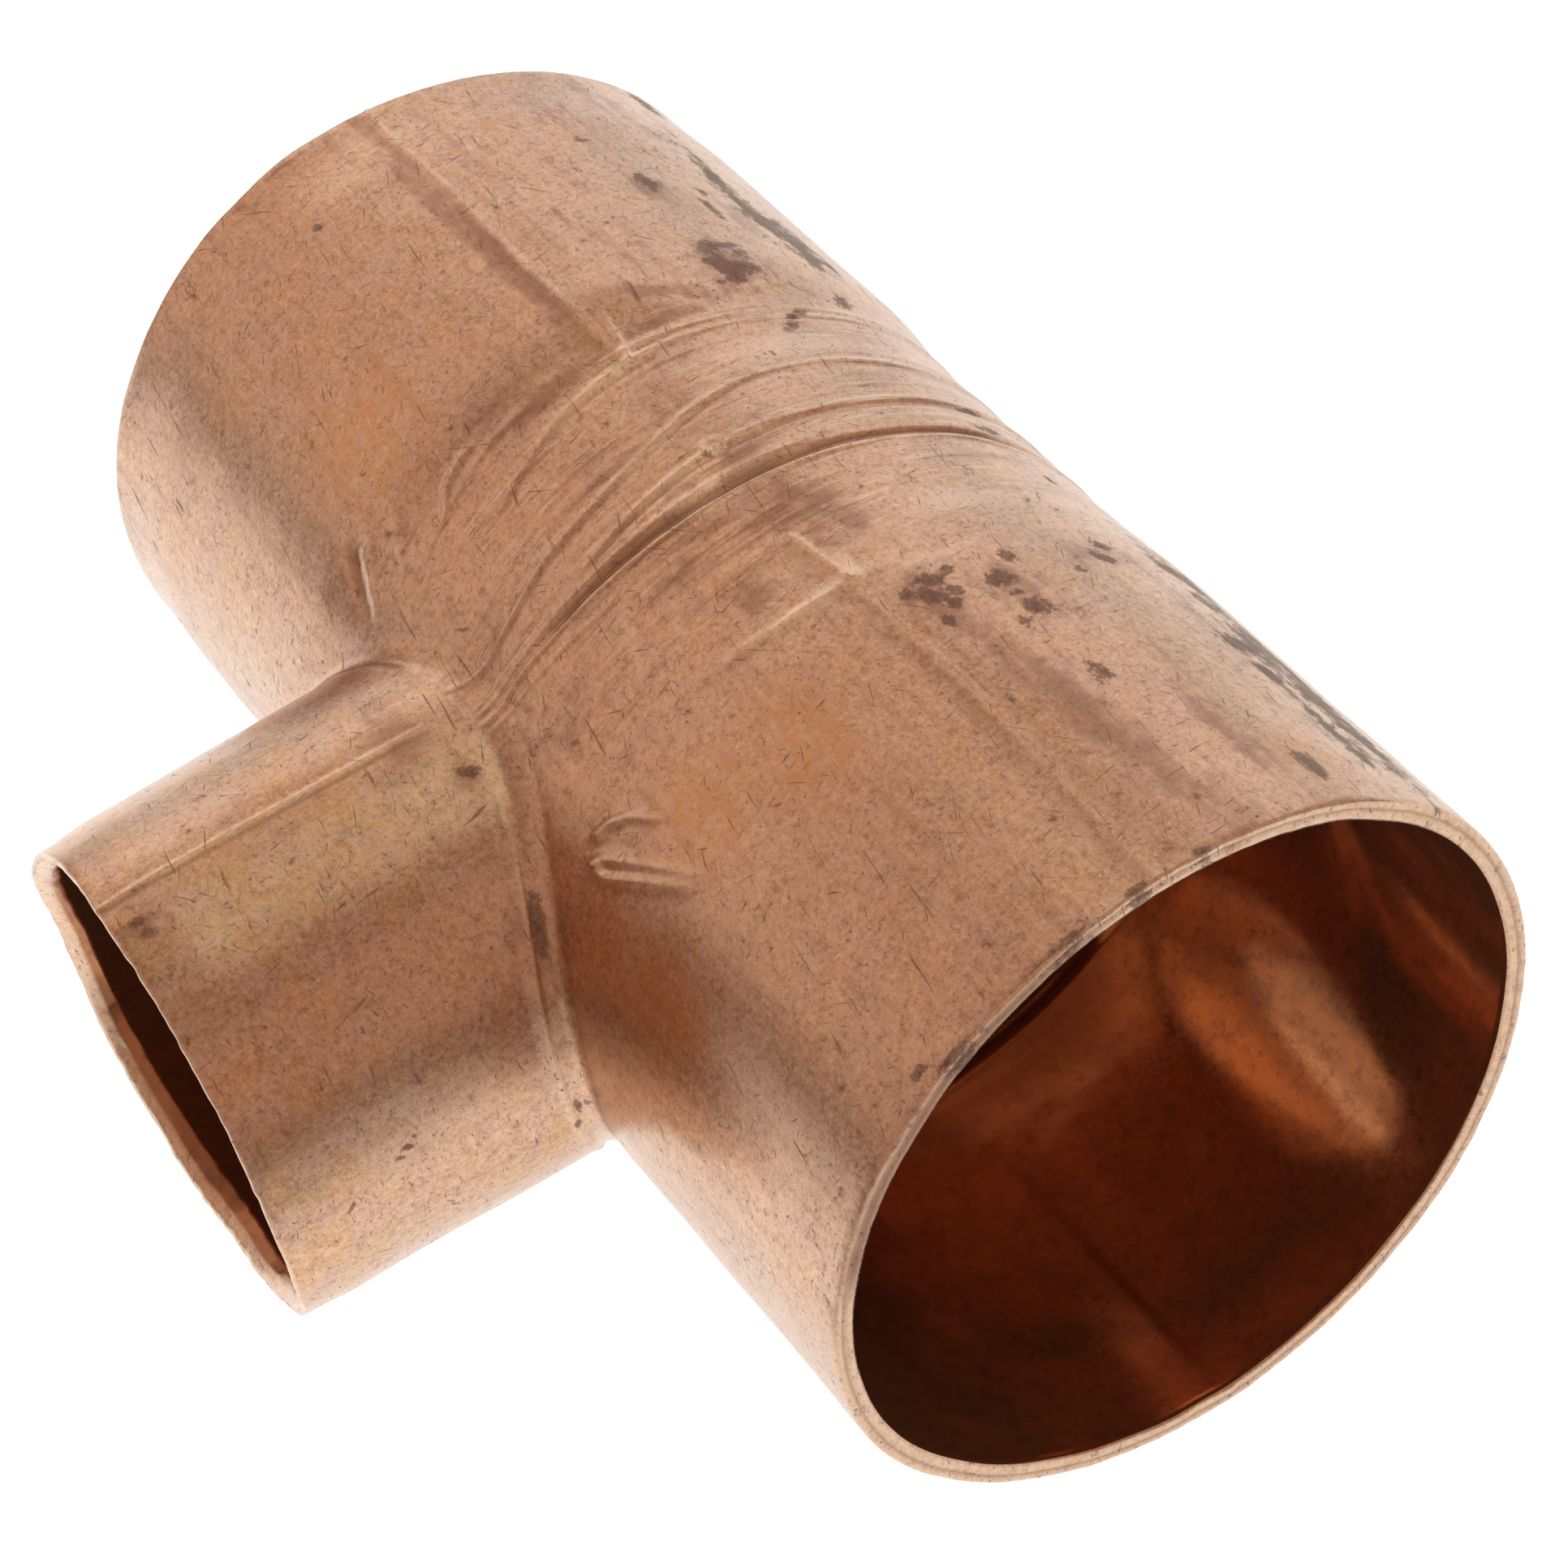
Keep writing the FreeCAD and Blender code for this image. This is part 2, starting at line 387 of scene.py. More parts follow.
REAR_SHOULDER = (-20, -9.5)  # x at which each shoulder starts, and at which the waist is reached
FRONT_SHOULDER = (23.5, 9.5)
WAIST_FILL = 0.75  # share of the waist's depth that is lost beside the branch
WAIST_CLEARS = (27, 20)  # over this stretch of distance from the branch's axis

SWOLLEN_X = (-42, -20)  # stretch of the rear socket that is swollen most
REAR_SWELLING = (0.1, 0.26)  # all along, and over that stretch
BRANCH_SWELLING = (0.1, 0.32, 0.65)  # everywhere, short of the mouth, and below near the run
BELOW_THETA = (60, 115)  # over these stretches of theta and of distance out, they come in
SHORT_OF_MOUTH, NEAR_RUN = (52, 47), (47, 27)


def polar(points):
    """(x, phi, phi folded onto the top half) of points about the run's axis."""
    phi = np.degrees(np.arctan2(-points[:, 1], points[:, 2]))
    folded = np.where(points[:, 2] >= 0, phi, turn_towards(-180 - phi, 0))
    return points[:, 0], phi, folded


def branch_polar(points):
    """(distance out, theta) of points about the branch's axis."""
    return -points[:, 1], np.degrees(np.arctan2(points[:, 0], points[:, 2]))


def fold(x, arc, path, height, width):
    """A ridge along a short path on the run's unrolled skin, tapered towards its far end."""
    nearest = np.full_like(x, np.inf)
    along = np.zeros_like(x)
    places = [(a, math.radians(b) * RUN_R) for a, b in path]
    for n, (start, end) in enumerate(zip(places[:-1], places[1:])):
        dx, dy = end[0] - start[0], end[1] - start[1]
        t = np.clip(((x - start[0]) * dx + (arc - start[1]) * dy) / (dx * dx + dy * dy), 0, 1)
        gap = np.hypot(x - start[0] - t * dx, arc - start[1] - t * dy)
        along = np.where(gap < nearest, (n + t) / (len(places) - 1), along)
        nearest = np.minimum(gap, nearest)
    return height * (1 - FOLD_TAPER * along**2) * bump(nearest, 0, width)


def lines_of(table, x, folded):
    """Sum of the ridges in table, each fading at its ends."""
    total = np.zeros_like(x)
    for knots, height, width, first, last in table:
        fade = between(folded, first, last, LINE_FADE)
        total += height * fade * bump(x, curve_through(knots, folded), width)
    return total


def witness_line(gap, ditch):
    """Section of a witness line: thin and raised, with a slight dip beside it."""
    depth, place, width = ditch
    return SEAM_HEIGHT * bump(gap, 0, SEAM_WIDTH) - depth * bump(gap, place, width)


def witness_lines(points, on_branch):
    """Relief of the lines on top and below, where the two halves of the die met."""
    x, phi, _ = polar(points)
    h, theta = branch_polar(points)
    total = np.zeros_like(x)
    for side in (0, 180):
        away = turn_towards(phi, side) * (1 if side == 0 else -1)
        for knots, first, last, strength in RUN_SEAMS:
            gap = np.radians(away - curve_through(knots, x)) * RUN_R
            run = (1 - on_branch) * between(x, first, last, SEAM_FADE) * strength
            total += run * witness_line(gap, RUN_DITCH)
        away = turn_towards(theta, side)
        gap = np.radians(away - curve_through(BRANCH_SEAM, h)) * BRANCH_R
        out = on_branch * smooth(*BRANCH_SEAM_START, h)
        total += out * witness_line(gap, BRANCH_DITCH)
    return total


def waist(points, on_branch):
    """How far a point lies on the narrower body between the run's sockets, from 0 to 1."""
    x, rho = points[:, 0], np.hypot(points[:, 0], points[:, 2])
    step = smooth(*REAR_SHOULDER, x) * smooth(*FRONT_SHOULDER, x)
    near_branch = smooth(*WAIST_CLEARS, rho) * (points[:, 1] < 0)
    return step * (1 - WAIST_FILL * near_branch) * (1 - on_branch)


LONG_WAVES = Waves(34)
DENTS = Waves(11)
HAMMER = Waves(3.2, count=40)
RIM_WAVES = Waves(6)
RIM_CHIPS = Waves(1.7, count=40)
UNEVENNESS = ((0.05, LONG_WAVES), (0.02, DENTS), (0.005, HAMMER))


def skin_unevenness(points):
    """Slight waviness of drawn and handled tube."""
    return sum(height * waves(points) for height, waves in UNEVENNESS)


def swelling(points, on_branch):
    """The rear socket is a little swollen, and the branch widens below towards its root."""
    h, theta = branch_polar(points)
    all_along, most = REAR_SWELLING
    rear = (all_along + most * between(points[:, 0], *SWOLLEN_X, 7)) * (1 - on_branch)
    everywhere, out_there, below = BRANCH_SWELLING
    branch = everywhere + out_there * smooth(*SHORT_OF_MOUTH, h)
    branch += below * smooth(*BELOW_THETA, np.abs(theta)) * smooth(*NEAR_RUN, h)
    return rear + branch * on_branch


def outer_relief(points, on_branch):
    """(displacement, painted shade in its hollows from 0 to 1, painted highlight on its ridges
    from 0 to 1) over the outside.
    """
    x, phi, folded = polar(points)
    h, theta = branch_polar(points)
    lower = np.where(points[:, 2] < 0, WANDER * DENTS(points * 0.5), 0)
    arc = np.radians(folded) * RUN_R
    on_root = smooth(1.0, 0.4, on_branch)
    ridges = lines_of(WRINKLES, x + lower, folded) * on_root
    valleys = lines_of(GROOVES, x + lower, folded) * on_root
    for path, height, width in FOLDS:
        ridges += fold(x + lower, arc, path, height, width)
    seams = witness_lines(points, on_branch)
    from_pimple = np.hypot(x - PIMPLE[0], np.radians(phi - PIMPLE[1]) * RUN_R)
    ridges += PIMPLE_HEIGHT * bump(from_pimple, PIMPLE_R, PIMPLE_WIDTH)
    skin = np.sqrt(np.maximum(RUN_R**2 - points[:, 2] ** 2, 0))
    collar = COLLAR_HEIGHT * bump(h - skin, COLLAR_PLACE, COLLAR_WIDTH)
    collar *= smooth(0.1, 0.6, on_branch) * smooth(*COLLAR_THETA, np.abs(theta))
    shape = ridges - valleys + seams + collar - WAIST_STEP * waist(points, on_branch)
    # Painted shade in grooves, beside witness lines and in sunken folds, and painted highlight on
    # ridges, witness lines and the collar
    low = np.clip(valleys / FULL_GROOVE, 0, 1) + 0.6 * np.clip(-seams / FULL_DITCH, 0, 1)
    low += np.clip(-ridges / FULL_RIDGE, 0, 1)
    high = np.clip(ridges / FULL_RIDGE, 0, 1) + 0.8 * np.clip(seams / FULL_SEAM, 0, 1)
    high += np.clip(collar / FULL_RIDGE, 0, 1)
    shape += skin_unevenness(points) + swelling(points, on_branch)
    standing = smooth(-RUN_R, LYING * RUN_R, points[:, 2])
    shape = np.minimum(shape, 0) + np.maximum(shape, 0) * standing
    return shape, np.clip(low, 0, 1), np.clip(high, 0, 1)


# Where each stop's ledge starts and where it is whole, from the CAD's stop towards the crossing.
# The front one lies deeper, as in the photo.
REAR_LEDGE = (-2.0, 3.0)
FRONT_LEDGE = (1.8, 5.8)
BRANCH_LEDGE = (-0.8, 1.2)
WRINKLE_BACK, UNEVEN_BACK = 0.25, 0.6  # shares of the outside's relief that show inside


def past_stop(out, stop, ledge):
    """0 in a socket and 1 past its stop, by distance from the crossing."""
    start, whole = ledge
    return smooth(stop - start, stop - whole, out)


def inner_relief(points, on_branch):
    """Displacement over the inside, towards the waterway: stops, and the wrinkles' backs."""
    x, _, folded = polar(points)
    body = past_stop(-x, REAR_STOP, REAR_LEDGE) * past_stop(x, FRONT_STOP, FRONT_LEDGE)
    neck = past_stop(-points[:, 1], BRANCH_STOP, BRANCH_LEDGE)
    step = STOP_STEP * (body * (1 - on_branch) + neck * on_branch)
    lines = (lines_of(WRINKLES, x, folded) - lines_of(GROOVES, x, folded)) * (1 - on_branch)
    return step - WRINKLE_BACK * lines - UNEVEN_BACK * skin_unevenness(points)


# How far each mouth's edge stands out past square, by phi or theta
FRONT_OFFSET = [(-180, 0.2), (-105, -0.1), (-86, -0.3), (-45, 0.1), (0, 0.45), (69, 0.18),
                (125, -0.23), (180, 0.2)]
REAR_OFFSET = [(-180, 0.3), (-80, 0.1), (-50, -0.8), (-12, -0.85), (10, -0.05), (54, 0.25),
               (79, 0.35), (180, 0.3)]
BRANCH_OFFSET = [(-180, 0.25), (-132, 0.28), (-95, -0.2), (-60, 0.05), (-30, -0.45), (0, -0.25),
                 (45, 0.2), (85, 0.75), (140, 0.4), (180, 0.25)]
RUN_RAGGED, BRANCH_RAGGED = 0.025, 0.035  # small waves on top of that
RUN_BLEND, BRANCH_BLEND = 14, 12  # length of socket over which it dies away


def end_offset(points):
    """Shift of each mouth's edge along its own axis, blended in over the socket."""
    x, phi, _ = polar(points)
    h, theta = branch_polar(points)
    ragged = RIM_WAVES(points)
    front = curve_through(FRONT_OFFSET, phi) + RUN_RAGGED * ragged
    rear = curve_through(REAR_OFFSET, phi) + RUN_RAGGED * ragged
    branch = curve_through(BRANCH_OFFSET, theta) + BRANCH_RAGGED * ragged
    shift = np.zeros_like(points)
    shift[:, 0] = front * smooth(FRONT_END - RUN_BLEND, FRONT_END, x)
    shift[:, 0] -= rear * smooth(RUN_BLEND - REAR_END, -REAR_END, x)
    shift[:, 1] = -branch * smooth(BRANCH_END - BRANCH_BLEND, BRANCH_END, h)
    return shift


# ------------------------ the shell

# Rings over the run, over the root's fillet and along the branch
OUTER_RINGS = (44, 9, 30)
INNER_RINGS = (5, 4, 14)

# The rim in section: part of the way from outer to inner edge, part of LIP stood out, and how
# much painted shade lies there; where there is none, it gets painted highlight
RIM_SECTION = [
    (0.02, 0.5, 0.0), (0.1, 0.9, 0.0), (0.26, 1.0, 0.1), (0.42, 0.5, 0.8),
    (0.56, 0.85, 0.2), (0.8, 0.8, 0.0), (0.97, 0.4, 0.5),
]
# The branch's rim, which is bevelled inside
BRANCH_RIM_SECTION = [
    (0.02, 0.5, 0.0), (0.1, 0.9, 0.0), (0.24, 1.0, 0.1), (0.36, 0.8, 0.7),
    (0.46, 0.7, 0.1), (0.55, 0.3, 0.0), (0.7, -0.8, 0.0), (0.86, -1.9, 0.2),
]
BRANCH_BEVEL = 0.75
RIM_CHIP = 0.1  # share by which the rim's height varies
SHADED_RIM_PHI = (14, 68)  # stretch of the front rim whose face is darkened between its edges: painted shade
OUT_OF_MOUTH = {"front": (1, 0, 0), "rear": (-1, 0, 0), "branch": (0, -1, 0)}

DARK_LINE_PHI = 178.3  # darker line along the floor of the front socket
DARK_LINE_WIDTH = 0.9
DARK_LINE_X = (23, 48)
DARKEST_LINE_X = (36, 48)
DARKENED_REAR_X = (-34, -30)  # over each of these stretches the darkening comes in
DARKENED_TOP_X, DARKENED_FLOOR_X = (19, 15), (27, 19)
DARKENED_FLOOR_PHI = (-30, 22)  # from straight down
DARKENED_BRANCH = (35, 45)


def inner_darkening(inside):
    """How far the inside is blackened: in the body, along a line on the floor, in the branch."""
    x, phi, _ = polar(inside.points)
    gap = np.radians(turn_towards(phi, DARK_LINE_PHI)) * RUN_BORE_R
    line = bump(gap, 0, DARK_LINE_WIDTH) * between(x, *DARK_LINE_X, 3)
    line *= 0.55 + 0.45 * between(x, *DARKEST_LINE_X, 4)
    on_floor = between(turn_towards(phi, 180), *DARKENED_FLOOR_PHI, 14)
    start_x, whole_x = (
        top + (floor - top) * on_floor for top, floor in zip(DARKENED_TOP_X, DARKENED_FLOOR_X)
    )
    body = smooth(*DARKENED_REAR_X, x) * smooth(start_x, whole_x, x) * (1 - inside.branchness)
    branch = 0.8 * smooth(*DARKENED_BRANCH, -inside.points[:, 1])
    return np.maximum(body, np.maximum(line, branch))


def rim_rings(name, outer_edge, inner_edge):
    """Rings of points over one mouth's rim, from its outer edge inwards, and the painted shade on
    each.
    """
    section = BRANCH_RIM_SECTION if name == "branch" else RIM_SECTION
    rings, dirt = [], []
    for across, out, shade_share in section:
        ring = outer_edge * (1 - across) + inner_edge * across
        chips = RIM_CHIP * RIM_CHIPS(ring)
        ring = ring + np.array(OUT_OF_MOUTH[name]) * (LIP * out * (1 + chips))[:, None]
        # Painted shade on part of the front rim's face
        shaded_face = between(polar(ring)[1], *SHADED_RIM_PHI, 10) * (name == "front")
        rings.append(ring)
        dirt.append(np.maximum(shade_share, shaded_face * between(across, 0.2, 0.8, 0.1)))
    return rings, dirt


def shell_mesh():
    """The copper shell as one closed mesh, with the fields that its material reads."""
    outside = Skin(RUN_R, BRANCH_R, OUTER_FILLET, OUTER_RINGS)
    inside = Skin(RUN_BORE_R, BRANCH_BORE_R, INNER_FILLET, INNER_RINGS)
    lift, low, high = outer_relief(outside.points, outside.branchness)
    outer = outside.points + outside.normals() * lift[:, None]
    sunk = inner_relief(inside.points, inside.branchness)
    inner = inside.points - inside.normals() * sunk[:, None]
    offset = len(outer)

    points, quads = [outer, inner], [outside.quads, inside.quads[:, ::-1] + offset]
    total = len(outer) + len(inner)
    rim_shade = []
    for name, way in OUT_OF_MOUTH.items():
        out_loop, in_loop = outside.mouths[name], inside.mouths[name]
        # dirt here is the painted shade on each rim's rings
        rings, dirt = rim_rings(name, outer[out_loop], inner[in_loop])
        if name == "branch":
            inner[in_loop] -= np.array(way) * BRANCH_BEVEL
        loops = [out_loop]
        for ring in rings:
            loops.append(total + np.arange(len(ring)))
            total += len(ring)
        loops.append(in_loop + offset)
        points += rings
        rim_shade += dirt
        quads += [band(low_loop, high_loop) for low_loop, high_loop in zip(loops[:-1], loops[1:])]
    points, quads, rim_shade = (np.concatenate(parts) for parts in (points, quads, rim_shade))

    no_outer, no_inner, no_rim = (np.zeros(len(part)) for part in (outer, inner, rim_shade))
    fields = {
        # Painted shade in the outside's hollows and on the rims' darker rings, and painted
        # highlight on its ridges and the rest of the rims
        "groove_shade": (low, no_inner, rim_shade),
        "crest_highlight": (high, no_inner, 1 - rim_shade),
        "inside": (no_outer, no_inner + 1, no_rim),
        "inner_darkening": (no_outer, inner_darkening(inside), no_rim),
        "on_branch": (outside.branchness, inside.branchness, no_rim),
        "waist": (waist(outside.points, outside.branchness), no_inner, no_rim),
    }
    fields = {name: np.concatenate(parts) for name, parts in fields.items()}
    return points + end_offset(points), quads, fields


# ------------------------ stains

# Marks on the run as (x, phi, half length along the run, half width round it, lean in degrees)
DARK_MARKS = [
    (-21.0, -26.5, 1.0, 0.8, 0), (-18.6, -26.0, 1.2, 0.9, 0), (-17.0, -27.0, 0.9, 1.0, 0),
    (-18.0, -30.0, 0.9, 1.4, 20), (-21.2, -30.0, 0.5, 1.4, 0), (-11.8, -31.5, 0.4, 1.4, -30),
    (-10.3, -28.5, 0.4, 1.2, -35), (-3.7, -12.0, 0.42, 0.42, 0), (-31.2, -29.0, 1.5, 0.8, 0),
    (-37.8, -26.5, 0.4, 1.2, 10), (-27.5, -36.0, 1.6, 0.35, 0), (-14.5, -44.5, 1.3, 0.7, 25),
    (-40.0, 25.0, 1.1, 0.25, 0), (-49.0, 38.0, 0.8, 0.3, 20), (-42.0, 17.0, 0.9, 0.25, -20),
    (1.25, -46.0, 0.5, 1.3, 0), (3.9, -46.0, 0.55, 1.4, 0), (10.5, -48.0, 0.7, 0.5, 0),
    (21.2, -9.5, 0.7, 1.1, 20), (22.6, -8.0, 1.0, 0.7, -10), (24.0, -9.5, 0.8, 0.6, 0),
    (25.3, -7.0, 0.7, 0.4, 0), (23.0, -11.2, 0.6, 0.5, 0), (21.3, -22.0, 0.8, 0.6, 0),
    (23.5, -18.3, 0.95, 0.95, 0), (27.2, -18.6, 1.0, 0.95, 0), (25.2, -17.8, 0.4, 0.5, 0),
    (28.2, -15.5, 0.7, 0.5, 0), (35.2, -17.8, 1.0, 0.8, 0), (22.8, -37.0, 0.9, 0.9, 0),
    (21.2, -39.5, 0.6, 0.9, 0), (24.2, -31.0, 0.5, 0.5, 0), (34.0, -5.0, 0.5, 0.4, 0),
    (49.0, 21.0, 0.8, 0.4, 20), (44.0, 22.0, 0.5, 0.3, -20), (51.2, 38.0, 0.5, 0.8, 0),
    (52.5, 2.0, 0.35, 1.2, 0), (52.5, 14.0, 0.3, 2.2, 0), (52.5, 33.0, 0.3, 1.5, 0),
    (52.5, -8.0, 0.3, 0.8, 0), (-33.5, -36.5, 1.2, 0.3, 6), (-25.5, -36.5, 0.7, 0.4, -8),
    (-30.0, -37.4, 0.9, 0.3, 0), (21.4, -5.6, 0.5, 0.5, 0), (20.9, -12.6, 0.6, 0.6, 0),
    (-16.6, -24.2, 0.5, 0.4, 0),
]
BROWN_MARKS = [
    (-29.0, 0.5, 10.0, 0.9, 0), (-23.0, 0.4, 4.0, 1.1, 0), (-44.0, 0.5, 6.0, 0.6, 0),
    (22.3, -38.0, 1.6, 3.6, 0), (-30.5, -29.0, 2.4, 1.4, 0), (-17.4, -12.5, 0.7, 4.0, 28),
    (-14.2, -11.0, 0.6, 4.2, -4), (-13.3, 10.0, 1.0, 4.5, -4), (-35.0, 1.6, 18.0, 0.8, 0.6),
    (7.0, -4.5, 1.4, 1.0, 0), (9.2, -8.0, 1.0, 1.6, 0), (12.5, -8.5, 1.8, 0.9, 0),
    (8.5, 1.0, 0.6, 3.0, 0), (13.5, 10.0, 2.0, 1.4, 0), (6.5, 7.0, 0.6, 3.0, 8),
    (39.0, -11.5, 15.0, 1.7, -7), (22.5, -8.5, 3.2, 1.8, 0), (-19.0, -28.0, 3.2, 2.4, 0),
    (25.0, -18.5, 3.5, 1.6, 0), (3.0, -4.0, 2.4, 2.2, 0), (22.5, -37.0, 2.0, 2.2, 0),
    (-46.0, -36.0, 4.0, 0.8, 8), (-50.4, 14.5, 0.4, 1.6, 0), (-50.3, 24.0, 0.4, 0.8, 0),
    (-27.0, -12.0, 4.0, 0.4, -10), (44.0, -26.0, 5.0, 1.2, 0), (-26.0, -40.0, 3.0, 1.2, 0),
    (-44.0, -40.0, 4.0, 0.8, 8),
]
# Broad and faint ones
FAINTNESS = 0.5
FAINT_BROWN_MARKS = [
    (-6.0, -3.0, 8.0, 5.0, 0), (8.0, -4.0, 10.0, 4.0, 0), (-15.5, 12.0, 2.4, 9.0, 0),
    (-2.0, 40.0, 9.0, 4.0, 0), (10.0, 42.0, 7.0, 3.6, 0), (36.0, -44.0, 14.0, 3.4, -3),
    (-36.0, -44.0, 12.0, 2.4, 4), (6.0, 14.0, 8.0, 5.0, 0),
]
GREY_MARKS = [
    (-19.8, -31.0, 1.3, 0.9, 0), (-30.0, -44.8, 9.5, 1.2, 0), (-23.0, -47.5, 4.5, 2.2, 0),
    (-48.0, -52.0, 2.0, 1.2, 0), (33.2, -46.0, 1.3, 1.2, 0), (37.0, -45.8, 1.0, 1.3, 0),
    (45.0, -46.0, 3.4, 1.4, 0), (36.0, -53.0, 15.0, 2.0, 0), (48.0, -33.0, 1.6, 1.0, 0),
    (-21.5, -47.0, 2.6, 1.8, 0),
]
PALE_MARKS = [
    (16.2, -2.6, 1.6, 0.6, -4), (17.5, 5.0, 0.35, 3.4, 2), (11.6, -1.2, 0.3, 0.9, 0),
    (-12.3, -3.2, 0.5, 1.3, 20), (-15.0, -4.0, 2.0, 0.3, 4), (-11.4, 0.5, 0.6, 0.5, 0),
    (0.1, -1.8, 0.4, 0.4, 0), (9.0, 26.0, 4.0, 0.5, 24), (11.0, 20.0, 3.0, 0.5, 20),
    (19.0, -12.0, 0.4, 5.0, 2), (13.5, -25.0, 1.8, 5.0, 2), (-8.0, -25.0, 2.0, 6.0, 0),
]
# Patches where the copper is tinted warmer orange
WARM_MARKS = [
    (-43.0, -15.0, 0.7, 0.7, 0), (-37.0, -18.0, 0.6, 0.6, 0), (-23.0, -22.0, 0.7, 0.6, 0),
    (-19.5, -17.0, 0.6, 0.6, 0), (27.0, 19.0, 6.0, 4.2, 10), (-23.0, 33.0, 6.0, 5.0, 0),
    (24.0, 34.0, 4.5, 4.5, 0), (30.0, 60.0, 5.0, 5.0, 40), (47.0, -33.0, 4.0, 2.5, 0),
]
# The same on the branch, by (distance out, theta)
BRANCH_DARK = [
    (26.6, 49.5, 0.5, 1.6, -14), (27.3, 54.0, 0.45, 1.5, -14), (25.3, 17.0, 0.6, 0.7, 0),
    (49.9, 7.5, 0.6, 0.5, 0), (49.5, 11.5, 0.5, 0.6, 0), (29.6, 95.0, 0.25, 0.9, 4),
    (30.0, 101.0, 0.3, 0.5, 0), (42.0, 80.0, 1.4, 0.2, 30),
]
BRANCH_BROWN = [
    (25.5, 17.0, 1.2, 1.6, 0), (50.3, 9.0, 1.1, 1.3, 0), (27.5, 60.0, 1.5, 5.0, 0),
    (28.0, 0.0, 2.0, 4.0, 0),
]


def marks(along, angle, radius, table):
    """Soft field that peaks at 1 in the middle of each mark and falls to 0.5 at its edge."""
    total, arc = np.zeros_like(along), np.radians(angle) * radius
    for centre, centre_angle, half_length, half_width, lean in table:
        turn = math.radians(lean)
        u, v = along - centre, arc - math.radians(centre_angle) * radius
        a = (u * math.cos(turn) + v * math.sin(turn)) / half_length
        b = (v * math.cos(turn) - u * math.sin(turn)) / half_width
        total = np.maximum(total, np.exp(-LN_2 * (a * a + b * b)))
    return total


def stain_fields(points, on_branch):
    """Fields for the dark, brown, grey and pale stains, and the warm patches, over the outside."""
    x, phi, _ = polar(points)
    h, theta = branch_polar(points)

    def on_run(table):
        return marks(x, phi, RUN_R, table) * (1 - on_branch)

    def out_on_branch(table):
        return marks(h, theta, BRANCH_R, table) * smooth(0.1, 0.5, on_branch)

    brown = np.maximum(on_run(BROWN_MARKS), FAINTNESS * on_run(FAINT_BROWN_MARKS))
    return {
        "dark": on_run(DARK_MARKS) + out_on_branch(BRANCH_DARK),
        "brown": brown + out_on_branch(BRANCH_BROWN),
        "grey": on_run(GREY_MARKS),
        "pale": on_run(PALE_MARKS),
        "warm": on_run(WARM_MARKS),
    }


def to_frame(points):
    """Millimetres from the crossing of the axes, to metres in the CAD frame."""
    return points * MM + np.array(CROSSING)


def add_fields(mesh, fields):
    """Store each field on the mesh's points, for the material to read by name."""
    for name, values in fields.items():
        attribute = mesh.attributes.new(name, "FLOAT", "POINT")
        attribute.data.foreach_set("value", values.astype(np.float32))


def build_shell():
    """The tee's one piece, without its material."""
    points, quads, fields = shell_mesh()
    used = np.unique(quads)
    remap = np.full(len(points), -1)
    remap[used] = np.arange(len(used))
    points = points[used]
    fields = {name: values[used] for name, values in fields.items()}
    outside = fields["inside"] < 0.5
    stains = stain_fields(points, fields["on_branch"])
    mesh = bpy.data.meshes.new("tee_shell")
    mesh.from_pydata(to_frame(points).tolist(), [], remap[quads].tolist())
    add_fields(mesh, {name: values * outside for name, values in stains.items()})
    add_fields(mesh, fields)
    work = bmesh.new()
    work.from_mesh(mesh)
    bmesh.ops.recalc_face_normals(work, faces=work.faces)
    work.to_mesh(mesh)
    work.free()
    mesh.shade_smooth()
    shell = bpy.data.objects.new("tee_shell", mesh)
    bpy.context.scene.collection.objects.link(shell)
    return shell


# ------------------------ copper


class Graph:
    """Short ways to add shader nodes to one material."""

    def __init__(self, name):
        self.material = bpy.data.materials.new(name)
        self.material.use_nodes = True
        self.tree = self.material.node_tree
        self.tree.nodes.clear()

    def add(self, kind, inputs=None, **settings):
        node = self.tree.nodes.new("ShaderNode" + kind)
        for key, value in settings.items():
            setattr(node, key, value)
        for key, value in (inputs or {}).items():
            if isinstance(value, bpy.types.NodeSocket):
                self.tree.links.new(value, node.inputs[key])
            else:
                node.inputs[key].default_value = value
        return node

    def math(self, operation, a, b):
        return self.add("Math", {0: a, 1: b}, operation=operation).outputs[0]

    def plus(self, a, b):
        return self.math("ADD", a, b)

    def times(self, a, b):
        return self.math("MULTIPLY", a, b)

    def ramp(self, value, low, high, out_low=0.0, out_high=1.0):
        node = self.add("MapRange", {"Value": value, "From Min": low, "From Max": high,
                                     "To Min": out_low, "To Max": out_high},
                        interpolation_type="SMOOTHSTEP")
        return node.outputs["Result"]

    def mix(self, factor, a, b):
        """One colour laid over another."""
        node = self.add("Mix", data_type="RGBA")
        for socket, value in ((node.inputs[0], factor), (node.inputs[6], a), (node.inputs[7], b)):
            if isinstance(value, bpy.types.NodeSocket):
                self.tree.links.new(value, socket)
            else:
                socket.default_value = value
        return node.outputs[2]

    def blend(self, factor, a, b):
        """One number laid over another."""
        node = self.add("Mix", {0: factor, 2: a, 3: b}, data_type="FLOAT")
        return node.outputs[0]

    def noise(self, vector, scale, detail, rough, twist=0.0):
        node = self.add("TexNoise", {"Vector": vector, "Scale": scale, "Detail": detail,
                                     "Roughness": rough, "Distortion": twist})
        return node.outputs["Fac"]

    def scaled(self, vector, size):
        node = self.add("VectorMath", {0: vector, 1: size}, operation="MULTIPLY")
        return node.outputs[0]

    def field(self, name):
        return self.add("Attribute", attribute_name=name).outputs["Fac"]

    def finished(self, surface):
        """The material, whose surface has these inputs."""
        shader = self.add("BsdfPrincipled", surface)
        self.add("OutputMaterial", {"Surface": shader.outputs[0]})
        return self.material


def colour(red, green, blue):
    """Opaque colour, as a shader's socket takes it."""
    return (red, green, blue, 1.0)


